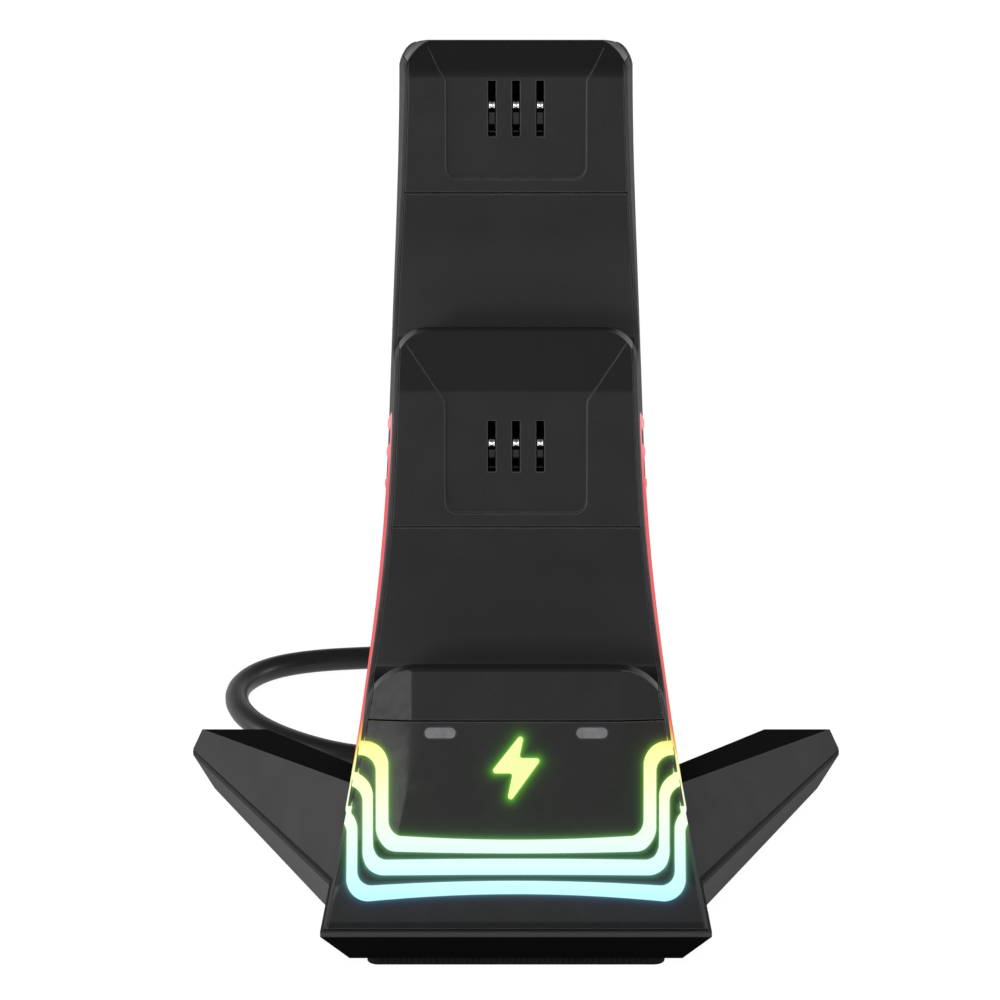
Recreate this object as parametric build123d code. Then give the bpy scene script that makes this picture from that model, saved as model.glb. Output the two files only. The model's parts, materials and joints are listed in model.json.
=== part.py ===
from build123d import *
import math
import os

os.makedirs("parts", exist_ok=True)

# Two-place charging dock for hand controllers. Millimetres, front towards -Y, standing on Z = 0.

# Stepped front, seen from the side as (Y, Z)
front_y = -54.5           # lower front edge
seat_z = 15.6             # where the tower meets the bottom cover
band_z = 18.0             # top of the short upright band at the front
fascia_lean = 17.0        # degrees back from upright
fascia_seam_z = 69.0      # joint between fascia and cap
cap_top_z = 82.0
cap_lip_thick = 4.1       # top of the cap, front to back
lower_floor_z = 70.0      # floor of the lower controller trough
lower_panel_y = -10.5
lower_seam_z = 112.0
lower_pad_top = (-3.9, 147.0)
lower_lip = (5.5, 161.5)
lower_lip_thick = 2.9
upper_floor_z = 150.0     # floor of the upper controller trough
upper_panel_y = 27.5
upper_seam_z = 192.0
upper_pad_top = (34.6, 223.0)
top_edge = (47.5, 228.5)
back_top = (53.2, 226.0)
back_foot = (15.5, 15.6)
trough_draft = 1.0        # slope of the wall behind each lip

# Tower outline: (distance up, half width) on the leaning front plane and on the back
front_lean = 26.0
front_plane_gap = 12.0    # front plane ahead of the lower front edge, square to the lean
front_halves = ((-6, 51.2), (24, 44.9), (57, 38.4), (105, 32.9), (142, 31.6), (194, 29.6), (246, 29.4))
back_halves = ((-8, 47.0), (32, 42.2), (78, 36.9), (139, 33.7), (188, 31.8), (224, 31.6))
back_plane_gap = 2.0
top_corner_r = 10.0
lip_corner_r = 10.0
cap_corner_r = 15.0
corner_over = 0.15        # a corner arc ends this far outside the side wall, so that they cross

# Mouldings
wall = 2.4                # side walls
back_wall = 2.0
rim = 0.9                 # edge of the side wall left in view beside a cover
cover = 2.2               # front covers
fit = 0.15                # gap round a cover
seat = 0.1                # gap under a cover
seam = 0.4                # gap between two covers
facet_angle = 12.0        # side facets of the fascia
facet_folds = (           # (distance up, half width of the flat between the facets)
    (-25, 62.0), (10, 46.0), (21.5, 31.2), (36, 28.2), (46, 27.2), (320, 27.2),
)
facet_reach = 110.0
fascia_flange = 6.0       # return at the bottom of the fascia
lip_round = 1.2
reach = 130.0             # past the whole part
clear = 30.0              # how far a cutting block stands clear of the part
spare = 2.0               # how far it goes past a face that it meets
sink = 0.5                # how far a post starts inside what carries it
probe_step = 4.0          # over which the flare of the side walls is measured
side_reach = 80.0         # past the side walls
floor_round = 3.0
pad_round = 9.0
top_round = 2.2
seam_setback = 2.0        # seam in a trough floor behind its rounded corner
cradle_back_gap = 1.15    # upper cradle to the back wall

# Contact pockets and contacts
pocket_depth = 1.0         # runs out to nothing at the lip
pocket_half = 18.6
pocket_corner_r = 3.2
pocket_rise = 3.5         # pocket bottom above the seam below it
pocket_mouth = (31.5, 24.4)       # half width at the lip, lower and upper
pocket_bend = 2.0         # flare starts below the top of the pad
slot_pitch = 6.37
slot_width = 2.1
slot_length = (13.6, 14.7)        # lower and upper
slot_rise = (21.4, 22.2)          # slot centre above the seam, up the pad, lower and upper
leaf_width = 1.5
leaf_thick = 0.35
leaf_root_drop = 6.2      # hinge of the leaf below the slot centre
leaf_root_r = 0.7
leaf_root_depth = 2.1     # hinge behind the front of the holder
leaf_head_rise = 1.0      # head above the slot centre
leaf_head_half = 0.6      # half of the flat part of the head
leaf_head_run = 1.3       # slope beside the head, along the pad
leaf_head_fall = 1.7      # and into the slot
leaf_bend_r = 0.55
leaf_dome_r = 0.85        # rounded contact point on the head
leaf_tail = (2.4, 3.6)    # free end past the head: along the pad, and into the slot
leaf_proud = 0.7          # head ahead of the pocket floor
leaf_gap = 0.15
holder_size = (22.0, 16.0, 6.5)
holder_gap = 0.3          # behind the cover
holder_back = 1.0         # left behind the channels
board_thick = 1.2
board_margin = 2.0

# Light strips, seen from the front
strip_edges = ((61.0, 3.6), (53.0, 3.4), (44.6, 3.0))     # (height, width) where a strip goes round the side
strip_arms = ((33.4, 36.7), (37.5, 40.2), (41.6, 44.4))   # (inner, outer) half width of the upright part
strip_rows = (                    # lower and upper edge: (height at the ends, rise in the middle)
    ((36.2, -0.6), (40.1, -1.1)),
    ((30.0, 0.2), (33.9, 0.3)),
    ((22.95, 2.35), (27.2, 1.4)),
)
strip_bend_r = (3.6, 5.6)         # (inner, outer) edge of a bend
strip_bow = 0.8                   # share of a row that is curved
strip_depth = 1.2
strip_fit = 0.08
strip_run_y = (-6.0, 1.0, 8.0)    # upright runs on the side walls
strip_run_top = (136.0, 124.7, 112.7)
strip_run_bend_r = 4.5
strip_tail_lean = 24.0

# Lenses
lamp_x = 19.8
lamp_z = 66.0
lamp_size = (8.1, 2.7)
emblem_z = 57.0
emblem_height = 20.0
emblem_width = 13.5
emblem_round = 0.7
lens_reach = 10.0         # through the fascia

# Base
base_half = 51.4
base_side = (50.1, -26.1)
leg_tip = (93.5, 54.5)
leg_tip_in = 71.5
base_back = (48.0, 17.0)
rim_z = 13.8
base_z = 3.0
parting = 0.3
tray_wall = 2.0
bottom_front = (44.2, -46.4)
bottom_side_y = -32.6
bottom_tip = 87.6
bottom_in = 1.2
leg_top_z = 22.0          # leg top at the tip
leg_top_rise = 0.2364     # rise of the leg top per mm towards the front
leg_top_out = (90.6, 34.0)
leg_top_in = (71.7, 22.0)
leg_root_y = -28.0
leg_wall = 2.2
foot_half = 39.7
foot_front_y = -44.5
foot_depth = 12.0
foot_sink = 0.8           # how far a foot sits in the tray
leg_foot_size = (10.0, 9.0)
leg_foot_at = (74.5, 46.0)

# Boards, posts and screws
main_board_size = (62.0, 36.0)
main_board_y = -20.0
post_r = 3.0
post_height = 4.0
post_inset = 4.0
screw_r = 1.25
screw_play = 0.12
screw_head_r = 2.6
screw_head_h = 1.8
screw_short = 1.0         # board screw tip above the bottom of its bore
base_screw_at = ((40.5, -24.0), (40.0, 4.0))
boss_r = 3.6
boss_top = 34.0
light_board_size = (54.0, 30.0)
light_board_depth = 8.0   # behind the fascia face
light_board_z = 47.0
led_size = (3.5, 3.0, 1.4)
led_pitch = (12.0, 9.0)

# Lead
lead_d = 7.1
lead_exit_z = 10.2
relief_length = 18.0
relief_r = (4.8, 4.0)
relief_flange = (16.0, 1.5, 9.4)
inner_lead_r = 2.0
harness_r = 1.5
harness_x = 8.0
harness_bend_r = 3.0
harness_kick = (6.0, 4.0)         # first bend: back and up
harness_riser = (25.0, 35.0)      # starts above the board, ends below the contact board
lead_points = (
    (0, 35, 10.2), (0, 47.6, 10.2), (-4.9, 58.6, 8.8), (-14.2, 66, 6.4), (-26.5, 69.2, 4.4), (-40, 72, 3.6),
    (-57, 77.4, 3.6), (-74.5, 90.5, 3.6), (-84.4, 106, 3.6), (-86.2, 122.3, 3.6), (-79, 135.6, 3.6),
    (-65, 142.6, 3.6), (-44, 145.2, 3.6), (-22, 146.8, 3.6), (-2, 146.5, 3.6),
)
lead_bend_share = 0.45            # of the shorter run at a point, taken up by its bend
coil_center = (0.0, 109.0)
coil_mean_r = 34.0
coil_wide = 2
coil_high = 2
coil_round = 3.0
tie_width = 9.0
tie_thick = 0.8
tie_angle = 60.0          # where the tie sits, degrees from +X
lead_end_start = 16.0     # where the end of the lead leaves the coil
lead_end_length = 16.0
plug_body = (15.0, 26.0, 7.6)
plug_shell = (12.0, 18.0, 4.5)
plug_round = 2.0
plug_tail = (8.1, 7.2, 6.0)       # width and height at the lead, length of the taper
plug_shell_wall = 0.35
plug_shell_round = 0.5
plug_shell_back = 1.0     # closed end of the shell


def save(node, shape):
    export_step(shape, f"parts/{node}.step")


def side_face(points):
    return Sketch() + make_face(Polyline(*[(0, y, z) for y, z in points], close=True))


def across(face, half=reach):
    return extrude(face, half, dir=(1, 0, 0), both=True)


def front_view(points):
    return Sketch() + make_face(Polyline(*[(x, 0, z) for x, z in points], close=True))


def through(face, start=-reach, end=reach):
    return extrude(Pos(0, start, 0) * face, end - start, dir=(0, 1, 0))


def fascia_y(z):
    return front_y + (z - band_z) * math.tan(math.radians(fascia_lean))


def fascia_point(z, depth):
    lean = math.radians(fascia_lean)
    return (fascia_y(z) + depth * math.cos(lean), z - depth * math.sin(lean))


def back_y(z):
    return back_foot[0] + (z - back_foot[1]) * (back_top[0] - back_foot[0]) / (back_top[1] - back_foot[1])


cap_y = fascia_y(cap_top_z)
lower_trough_y = cap_y + cap_lip_thick
upper_trough_y = lower_lip[0] + lower_lip_thick
profile_points = [
    (front_y, seat_z), (front_y, band_z), (cap_y, cap_top_z), (lower_trough_y, cap_top_z),
    (lower_trough_y + trough_draft, lower_floor_z), (lower_panel_y, lower_floor_z),
    (lower_panel_y, lower_seam_z), lower_pad_top, lower_lip, (upper_trough_y, lower_lip[1]),
    (upper_trough_y + trough_draft, upper_floor_z), (upper_panel_y, upper_floor_z),
    (upper_panel_y, upper_seam_z), upper_pad_top, top_edge, back_top, back_foot,
]
profile_rounds = {
    2: lip_round, 3: lip_round, 4: floor_round, 5: floor_round, 7: pad_round, 8: lip_round, 9: lip_round,
    10: floor_round, 11: floor_round, 13: pad_round / 2, 14: top_round, 15: top_round,
}


def stepped_profile():
    face = side_face(profile_points)
    for index, radius in profile_rounds.items():
        y, z = profile_points[index]
        corner = face.vertices().sort_by_distance((0, y, z))[0]
        face = fillet(corner, radius)
    return face


full_profile = stepped_profile()


def outline(plane, stations, inset):
    right = [(half - inset, rise) for rise, half in stations]
    left = [(-x, rise) for x, rise in reversed(right)]
    edges = Spline(*right) + Line(right[-1], left[0]) + Spline(*left) + Line(left[-1], right[0])
    return plane * make_face(edges)


def envelope(inset):
    lean = math.radians(front_lean)
    ahead = (0, -math.cos(lean), math.sin(lean))
    front = Plane((0, front_y, band_z), x_dir=(1, 0, 0), z_dir=ahead).offset(front_plane_gap)
    back_lean = math.atan2(back_top[0] - back_foot[0], back_top[1] - back_foot[1])
    facing = (0, -math.cos(back_lean), math.sin(back_lean))
    back = Plane((0, *back_foot), x_dir=(1, 0, 0), z_dir=facing).offset(-back_plane_gap)
    return loft([outline(front, front_halves, inset), outline(back, back_halves, inset)], ruled=True)


outer_envelope = envelope(0)


def edge_half(y, z):
    probe = outer_envelope & Line((0, y, z), (reach, y, z))
    return probe.edges()[0].length


def facet_prism(depth):
    slope = math.tan(math.radians(facet_angle))
    shift = depth * math.tan(math.radians(facet_angle / 2))
    lean = math.radians(fascia_lean)
    along = (0, math.sin(lean), math.cos(lean))
    square = Plane((0, *fascia_point(band_z, depth)), x_dir=(1, 0, 0), z_dir=along)
    sections = []
    for rise, fold in facet_folds:
        half = fold - shift
        edge = (facet_reach - half) * slope
        right = [(half, 0), (facet_reach, edge), (facet_reach, 2 * facet_reach)]
        left = [(-x, y) for x, y in reversed(right)]
        sections.append(square.offset(rise) * make_face(Polyline(*right, *left, close=True)))
    return loft(sections, ruled=True)


# Rounded upper corners of the cap and of the two lips: (front Y, top Z, radius, how far back)
lip_corners = (
    (cap_y, cap_top_z, cap_corner_r, lower_panel_y - floor_round),
    (lower_lip[0], lower_lip[1], lip_corner_r, upper_panel_y - floor_round),
    (top_edge[0], top_edge[1], top_corner_r, top_edge[0] + clear),
)


def corner_cut(front, top, radius, end, depth):
    z = top - radius
    x = edge_half(front, z) - radius + corner_over
    far = 3 * radius
    square = front_view([(x, z), (x + far, z), (x + far, z + far), (x, z + far)])
    face = Pos(0, front, 0) * (square - Plane.XZ * Pos(x, z) * Circle(radius - depth))
    flare = (edge_half(front + probe_step, z) - edge_half(front, z)) / probe_step
    back = extrude(face, (end - front) * math.hypot(1, flare), dir=(flare, 1, 0))
    piece = back + extrude(face, clear, dir=(0, -1, 0))
    return piece + mirror(piece, Plane.YZ)


def layer(depth):
    face = full_profile if depth == 0 else offset(full_profile, -depth, kind=Kind.INTERSECTION)
    solid = across(face) & facet_prism(depth)
    for corner in lip_corners:
        solid = solid - corner_cut(*corner, depth)
    return solid


outer_layer = layer(0)
cover_layer = layer(cover)
seat_layer = layer(cover + seat)
tower = outer_envelope & outer_layer
front_shell = (envelope(rim + fit) & outer_layer) - cover_layer

# Where one cover ends and the next begins, seen from the side
cap_seam_y = lower_trough_y + trough_draft + floor_round + seam_setback
lip_seam_y = upper_trough_y + trough_draft + floor_round + seam_setback
half_seam = seam / 2
fascia_cut_z = fascia_seam_z - half_seam
cap_cut_z = fascia_seam_z + half_seam
cap_depth = (cap_seam_y - half_seam - fascia_y(cap_cut_z)) / math.cos(math.radians(fascia_lean))
lower_back_y = lower_panel_y + cover + spare
upper_back_y = upper_panel_y + cover + spare
lower_under_z = lower_floor_z - cover - spare
upper_under_z = upper_floor_z - cover - spare
cradle_back = back_wall + cradle_back_gap
above_z = top_edge[1] + clear
cover_regions = {
    "front_fascia": [
        fascia_point(fascia_cut_z, -clear), fascia_point(fascia_cut_z, fascia_flange),
        (front_y + fascia_flange, seat_z - spare), (front_y - clear, seat_z - spare),
    ],
    "fascia_cap": [
        fascia_point(cap_cut_z, -clear), fascia_point(cap_cut_z, cap_depth),
        (cap_seam_y - half_seam, cap_top_z + clear), (cap_y - clear, cap_top_z + clear),
    ],
    "lower_panel": [
        (cap_seam_y + half_seam, lower_under_z), (lower_back_y, lower_under_z),
        (lower_back_y, lower_seam_z - half_seam), (cap_seam_y + half_seam, lower_seam_z - half_seam),
    ],
    "lower_cradle": [
        (lower_panel_y - clear, lower_seam_z + half_seam),
        (lip_seam_y - half_seam, lower_seam_z + half_seam),
        (lip_seam_y - half_seam, lower_lip[1] + clear / 2),
        (lower_panel_y - clear, lower_lip[1] + clear / 2),
    ],
    "upper_panel": [
        (lip_seam_y + half_seam, upper_under_z), (upper_back_y, upper_under_z),
        (upper_back_y, upper_seam_z - half_seam), (lip_seam_y + half_seam, upper_seam_z - half_seam),
    ],
    "upper_cradle": [
        (upper_panel_y - clear, upper_seam_z + half_seam),
        (back_y(upper_seam_z) - cradle_back, upper_seam_z + half_seam),
        (back_y(above_z) - cradle_back, above_z), (upper_panel_y - clear, above_z),
    ],
}
covers = {node: front_shell & across(side_face(points)) for node, points in cover_regions.items()}

# Rear housing: side walls with a rebate for the covers, and the back
inside = side_face([
    (front_y - clear, 0), (back_y(0) - back_wall, 0),
    (back_y(above_z) - back_wall, above_z), (front_y - clear, above_z),
])
inside_block = across(inside)
rebate = (envelope(rim) & inside_block) - seat_layer
housing = tower - (envelope(wall) & inside_block) - (rebate & outer_layer)


# Light strips: a groove in the fascia and in the side walls, filled by one light guide each
def strip_line(edge_z, arm, row, radii):
    row_z, rise = row
    apex = row_z + rise / (1 - strip_bow / 2)
    half_row = math.hypot(arm, apex - row_z)
    bow_r = strip_bow * half_row * arm / abs(apex - row_z)
    points = [(-side_reach, edge_z), (-arm, edge_z), (-arm, row_z), (0, apex)]
    points += [(-x, z) for x, z in reversed(points[:-1])]
    return FilletPolyline(*points, radius=[*radii, bow_r, *reversed(radii)])


def strip_front(index, grow):
    edge_z, width = strip_edges[index]
    inner, outer = strip_arms[index]
    (low_z, low_rise), (high_z, high_rise) = strip_rows[index]
    half = width / 2 + grow
    upper = strip_line(edge_z + half, inner - grow, (high_z + grow, high_rise), strip_bend_r[::-1])
    lower = strip_line(edge_z - half, outer + grow, (low_z - grow, low_rise), strip_bend_r)
    ends = Line(upper @ 0, lower @ 0) + Line(upper @ 1, lower @ 1)
    return through(Plane.XZ * make_face(upper + lower + ends), end=lower_trough_y)


def strip_side(index, grow):
    edge_z, width = strip_edges[index]
    run_y, top_z = strip_run_y[index], strip_run_top[index]
    lean = math.radians(strip_tail_lean)
    rise = (back_top[0] - back_foot[0]) / (back_top[1] - back_foot[1])
    turn = (run_y + (top_z - edge_z) * rise, top_z)
    end = (turn[0] + side_reach * math.cos(lean), turn[1] - side_reach * math.sin(lean))
    path = FilletPolyline((front_y - clear, edge_z), (run_y, edge_z), turn, end, radius=strip_run_bend_r)
    return across(Plane.YZ * trace(path, width + 2 * grow))


def light_strips(grow):
    front_skin = outer_layer - layer(strip_depth + grow)
    side_skin = outer_layer - envelope(strip_depth + grow)
    return [
        outer_envelope & ((front_skin & strip_front(index, grow)) + (side_skin & strip_side(index, grow)))
        for index in range(len(strip_edges))
    ]


strips = light_strips(0)
for groove in light_strips(strip_fit):
    covers["front_fascia"] -= groove
    housing -= groove


# Lenses in the fascia
def lamp_shape(side, grow):
    return through(Plane.XZ * Pos(side * lamp_x, lamp_z) * SlotOverall(
        lamp_size[0] + 2 * grow, lamp_size[1] + 2 * grow), end=fascia_y(lamp_z) + lens_reach)


def emblem_shape(grow):
    bolt = ((0.18, 0.5), (-0.5, -0.06), (-0.06, -0.06), (-0.2, -0.5), (0.5, 0.13), (0.06, 0.13))
    face = make_face(Polyline(*[(x * emblem_width, z * emblem_height) for x, z in bolt], close=True))
    face = fillet(face.vertices(), emblem_round)
    face = offset(face, grow) if grow else face
    return through(Plane.XZ * Pos(0, emblem_z) * face, end=fascia_y(emblem_z) + lens_reach)


fascia_layer = outer_layer - cover_layer
lenses = {
    "indicator_lens_left": fascia_layer & lamp_shape(-1, 0),
    "indicator_lens_right": fascia_layer & lamp_shape(1, 0),
    "emblem_lens": fascia_layer & emblem_shape(0),
}
covers["front_fascia"] -= lamp_shape(-1, strip_fit) + lamp_shape(1, strip_fit) + emblem_shape(strip_fit)


# Contact pockets, slots, contacts and their holders
def pad_frame(panel_y, seam_z, pad_top, rise):
    lean = math.atan2(pad_top[0] - panel_y, pad_top[1] - seam_z)
    facing = (0, -math.cos(lean), math.sin(lean))
    return Plane((0, panel_y, seam_z), x_dir=(1, 0, 0), z_dir=facing) * Pos(0, rise, 0)


def pocket(panel_y, seam_z, pad_top, lip, mouth):
    bottom = seam_z + pocket_rise
    bend = pad_top[1] - pocket_bend
    right = [(pocket_half, bottom), (pocket_half, bend), (mouth, lip[1]), (mouth, lip[1] + clear / 2)]
    left = [(-x, z) for x, z in reversed(right)]
    face = make_face(Polyline(*right, *left, close=True))
    corners = face.vertices().group_by(Axis.Y)[:2]
    face = fillet(corners[0] + corners[1], pocket_corner_r)
    lean = math.atan2(pad_top[0] - panel_y, pad_top[1] - seam_z)
    step_y, step_z = pocket_depth * math.cos(lean), -pocket_depth * math.sin(lean)
    run_out = 1 - 2 * lip_round / math.hypot(lip[0] - pad_top[0], lip[1] - pad_top[1])
    end = (pad_top[0] + run_out * (lip[0] - pad_top[0]), pad_top[1] + run_out * (lip[1] - pad_top[1]))
    low, high = (panel_y + step_y, seam_z + step_z), (pad_top[0] + step_y, pad_top[1] + step_z)
    side = side_face([low, high, end, (panel_y - clear, end[1]), (panel_y - clear, low[1])])
    side = fillet(side.vertices().sort_by_distance((0, *high))[0], pad_round / 2)
    return across(side) & through(Plane.XZ * face, end=upper_panel_y + 2 * clear)


slot_places = [step * slot_pitch for step in (-1, 0, 1)]
leaf_root = (-leaf_root_drop, -cover - holder_gap - leaf_root_depth)


def contact_leaf(frame, x):
    face_depth = leaf_proud - pocket_depth
    head = face_depth - leaf_thick / 2
    near, far = leaf_head_rise - leaf_head_half, leaf_head_rise + leaf_head_half
    path = FilletPolyline(
        leaf_root, (near - leaf_head_run, head - leaf_head_fall), (near, head), (far, head),
        (far + leaf_tail[0], head - leaf_tail[1]), radius=leaf_bend_r,
    )
    face = trace(path, leaf_thick) + Pos(*leaf_root) * Circle(leaf_root_r)
    blank = extrude(face, leaf_width / 2, both=True)
    upright = Plane((0, 0, 0), x_dir=(0, 1, 0), z_dir=(1, 0, 0))
    dome = Pos(0, leaf_head_rise, face_depth - leaf_dome_r / 2) * Sphere(leaf_dome_r)
    return frame * Pos(x, 0, 0) * (upright * blank + dome)


def contact_holder(frame, length):
    width, height, depth = holder_size
    front = -cover - holder_gap
    block = Pos(0, 0, front - depth / 2) * Box(width, height, depth)
    drop = leaf_root_drop + leaf_root_r + leaf_gap
    top = length / 2
    for x in slot_places:
        channel = Box(leaf_width + 4 * leaf_gap, top + drop, depth - holder_back)
        block -= Pos(x, (top - drop) / 2, front - (depth - holder_back) / 2) * channel
    return frame * block


def contact_board(frame):
    width, height, depth = holder_size
    plate = Box(width + 2 * board_margin, height + 2 * board_margin, board_thick)
    return frame * Pos(0, 0, -cover - holder_gap - depth - board_thick / 2) * plate


places = {
    "lower": (lower_panel_y, lower_seam_z, lower_pad_top, lower_lip),
    "upper": (upper_panel_y, upper_seam_z, upper_pad_top, top_edge),
}
contact_frames = {}
contacts = {}
for index, (place, (panel_y, seam_z, pad_top, lip)) in enumerate(places.items()):
    frame = pad_frame(panel_y, seam_z, pad_top, slot_rise[index])
    contact_frames[place] = frame
    cradle = covers[f"{place}_cradle"] - pocket(panel_y, seam_z, pad_top, lip, pocket_mouth[index])
    for x in slot_places:
        cradle -= frame * Pos(x, 0, 0) * Box(slot_width, slot_length[index], 4 * cover)
    covers[f"{place}_cradle"] = cradle
    for side, x in zip(("left", "middle", "right"), slot_places):
        contacts[f"{place}_contact_{side}"] = contact_leaf(frame, x)
    contacts[f"{place}_contact_holder"] = contact_holder(frame, slot_length[index])
    contacts[f"{place}_contact_board"] = contact_board(frame)


# Base: a tray that spreads into two legs behind, with rubber feet
def mirrored(half):
    return make_face(Polyline(*half, *[(-x, y) for x, y in reversed(half)], close=True))


def grown(face, amount):
    return offset(Sketch() + face, amount, kind=Kind.INTERSECTION) if amount else Sketch() + face


base_outline = mirrored([(base_half, front_y), base_side, leg_tip, (leg_tip_in, leg_tip[1]), base_back])
bottom_outline = mirrored([
    bottom_front, (bottom_front[0], bottom_side_y), (bottom_tip, leg_tip[1]),
    (leg_tip_in + bottom_in, leg_tip[1]), (base_back[0] + bottom_in / 2, base_back[1] - bottom_in),
])
tray_top = seat_z - parting
tray_floor = base_z + tray_wall


def tray_block(inset, bottom_z):
    rim_face = grown(base_outline, -inset)
    bottom_face = grown(bottom_outline, -inset)
    lower = loft([Pos(0, 0, bottom_z) * bottom_face, Pos(0, 0, rim_z) * rim_face], ruled=True)
    return lower + extrude(Pos(0, 0, rim_z) * rim_face, tray_top - rim_z)


def both_sides(shape):
    return shape + mirror(shape, Plane.YZ)


low_end = (Align.CENTER, Align.CENTER, Align.MIN)


def post(x, y, bottom, top, radius):
    return Pos(x, y, bottom) * Cylinder(radius, top - bottom, align=low_end)


front_foot_y = foot_front_y + foot_depth / 2
foot_top = base_z + foot_sink


def foot(x, y, width, depth, grow):
    pad = RectangleRounded(width + 2 * grow, depth + 2 * grow, min(width, depth) / 4)
    return Pos(x, y, 0) * extrude(pad, foot_top + grow)


board_z = tray_floor + post_height
board_posts = [
    (sx * (main_board_size[0] / 2 - post_inset), main_board_y + sy * (main_board_size[1] / 2 - post_inset))
    for sx in (-1, 1) for sy in (-1, 1)
]
base_screws_at = [(side * x, y) for x, y in base_screw_at for side in (-1, 1)]
bore_r = screw_r + screw_play
head_z = base_z + screw_head_h
above_tray = Pos(0, 0, tray_top) * Box(2 * reach, 2 * reach, clear, align=low_end)
tray = tray_block(0, base_z) - tray_block(tray_wall, tray_floor) - above_tray
for x, y in board_posts:
    tray += post(x, y, tray_floor - sink, board_z, post_r)
    tray -= post(x, y, tray_floor, board_z, bore_r)
for x, y in base_screws_at:
    tray += post(x, y, tray_floor - sink, tray_top, boss_r)
    tray -= post(x, y, base_z, head_z, screw_head_r + screw_play) + post(x, y, base_z, tray_top, bore_r)
tray -= foot(0, front_foot_y, 2 * foot_half, foot_depth, fit)
for side in (-1, 1):
    tray -= foot(side * leg_foot_at[0], leg_foot_at[1], *leg_foot_size, fit)
relief_axis = Plane((0, base_back[1], lead_exit_z), x_dir=(1, 0, 0), z_dir=(0, 1, 0))
tray -= relief_axis * Cylinder(relief_r[0] + fit, 4 * tray_wall)

# Leg covers: tapered shells that meet the tower sides and rest on the tray
tower_gap = envelope(-fit) & across(full_profile)


def leg_height(y):
    return leg_top_z + (leg_tip[1] - y) * leg_top_rise


def leg_cover(side):
    splay = (leg_tip_in - base_back[0]) / (leg_tip[1] - base_back[1])
    root_in = base_back[0] + (leg_root_y - base_back[1]) * splay
    low = [(*leg_tip, seat_z), (leg_tip_in, leg_tip[1], seat_z), (root_in, leg_root_y, seat_z)]
    low.append((base_side[0] - leg_wall, leg_root_y, seat_z))
    high = [(leg_top_out[0], leg_tip[1]), (leg_top_in[0], leg_tip[1]), (leg_top_in[1], leg_root_y)]
    high.append((leg_top_out[1], leg_root_y))
    low_face = make_face(Polyline(*low, close=True))
    high_face = make_face(Polyline(*[(x, y, leg_height(y)) for x, y in high], close=True))
    block = loft([low_face, high_face], ruled=True)
    shell = offset(block, -leg_wall, openings=block.faces().sort_by(Axis.Z)[0])
    shell = shell - tower_gap
    return shell if side > 0 else mirror(shell, Plane.YZ)


boss_limit = envelope(wall / 2)
for x, y in base_screws_at:
    housing += post(x, y, seat_z, boss_top, boss_r) & boss_limit
    housing -= post(x, y, seat_z, boss_top - wall, bore_r)

base = {
    "bottom_cover": tray,
    "leg_cover_left": leg_cover(-1),
    "leg_cover_right": leg_cover(1),
    "front_foot": foot(0, front_foot_y, 2 * foot_half, foot_depth, 0),
    "leg_foot_left": foot(-leg_foot_at[0], leg_foot_at[1], *leg_foot_size, 0),
    "leg_foot_right": foot(leg_foot_at[0], leg_foot_at[1], *leg_foot_size, 0),
}


# Boards and fasteners
def screw(x, y, bottom, length, head_up):
    head_low = bottom + length if head_up else bottom
    shank_low = bottom if head_up else bottom + screw_head_h
    return post(x, y, shank_low, shank_low + length, screw_r) + post(
        x, y, head_low, head_low + screw_head_h, screw_head_r)


board_plate = Pos(0, main_board_y, board_z + board_thick / 2) * Box(*main_board_size, board_thick)
for x, y in board_posts:
    board_plate -= post(x, y, board_z, board_z + board_thick, bore_r)
board_screw_length = board_thick + post_height - screw_short
board_screws = [screw(x, y, tray_floor + screw_short, board_screw_length, True) for x, y in board_posts]
base_screw_length = boss_top - 2 * wall - head_z
base_screws = [screw(x, y, base_z, base_screw_length, False) for x, y in base_screws_at]

light_frame = Plane(
    (0, *fascia_point(light_board_z, 0)), x_dir=(1, 0, 0),
    z_dir=(0, -math.cos(math.radians(fascia_lean)), math.sin(math.radians(fascia_lean))))
light_plate = Box(*light_board_size, board_thick)
light_board = light_frame * Pos(0, 0, -light_board_depth - board_thick / 2) * light_plate
light_posts = [
    (sx * (light_board_size[0] / 2 - post_inset), sy * (light_board_size[1] / 2 - post_inset))
    for sx in (-1, 1) for sy in (-1, 1)
]
for x, y in light_posts:
    stand = Cylinder(post_r, light_board_depth - cover + sink)
    covers["front_fascia"] += light_frame * Pos(x, y, -(light_board_depth + cover - sink) / 2) * stand
led_places = [(column * led_pitch[0], row * led_pitch[1]) for row in (-1, 0, 1) for column in (-1, 0, 1)]
leds = [
    light_frame * Pos(x, y, led_size[2] / 2 - light_board_depth) * Box(*led_size) for x, y in led_places
]
inside_pieces = {
    "main_board": board_plate,
    "board_screws": Compound(children=board_screws),
    "base_screws": Compound(children=base_screws),
    "light_board": light_board,
    "light_board_leds": Compound(children=leds),
}

# Lead: strain relief, the lead as it lies, its coil with a tie, and the plug
flange_y = base_back[1] - tray_wall - bottom_in - relief_flange[1]
relief = relief_axis * Pos(0, 0, relief_length / 2) * Cone(relief_r[0], relief_r[1], relief_length)
neck = Plane((0, flange_y, lead_exit_z), x_dir=(1, 0, 0), z_dir=(0, 1, 0)) * Cylinder(
    relief_r[0], base_back[1] - flange_y, align=(Align.CENTER, Align.CENTER, Align.MIN))
relief += neck + Pos(0, flange_y + relief_flange[1] / 2, lead_exit_z) * Box(*relief_flange)


def lead_radii(points):
    radii = []
    for before, here, after in zip(points, points[1:], points[2:]):
        run_in, run_out = Vector(*here) - Vector(*before), Vector(*after) - Vector(*here)
        turn = run_in.get_angle(run_out)
        shorter = min(run_in.length, run_out.length)
        radii.append(lead_bend_share * shorter / math.tan(math.radians(turn / 2)))
    return radii


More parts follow.
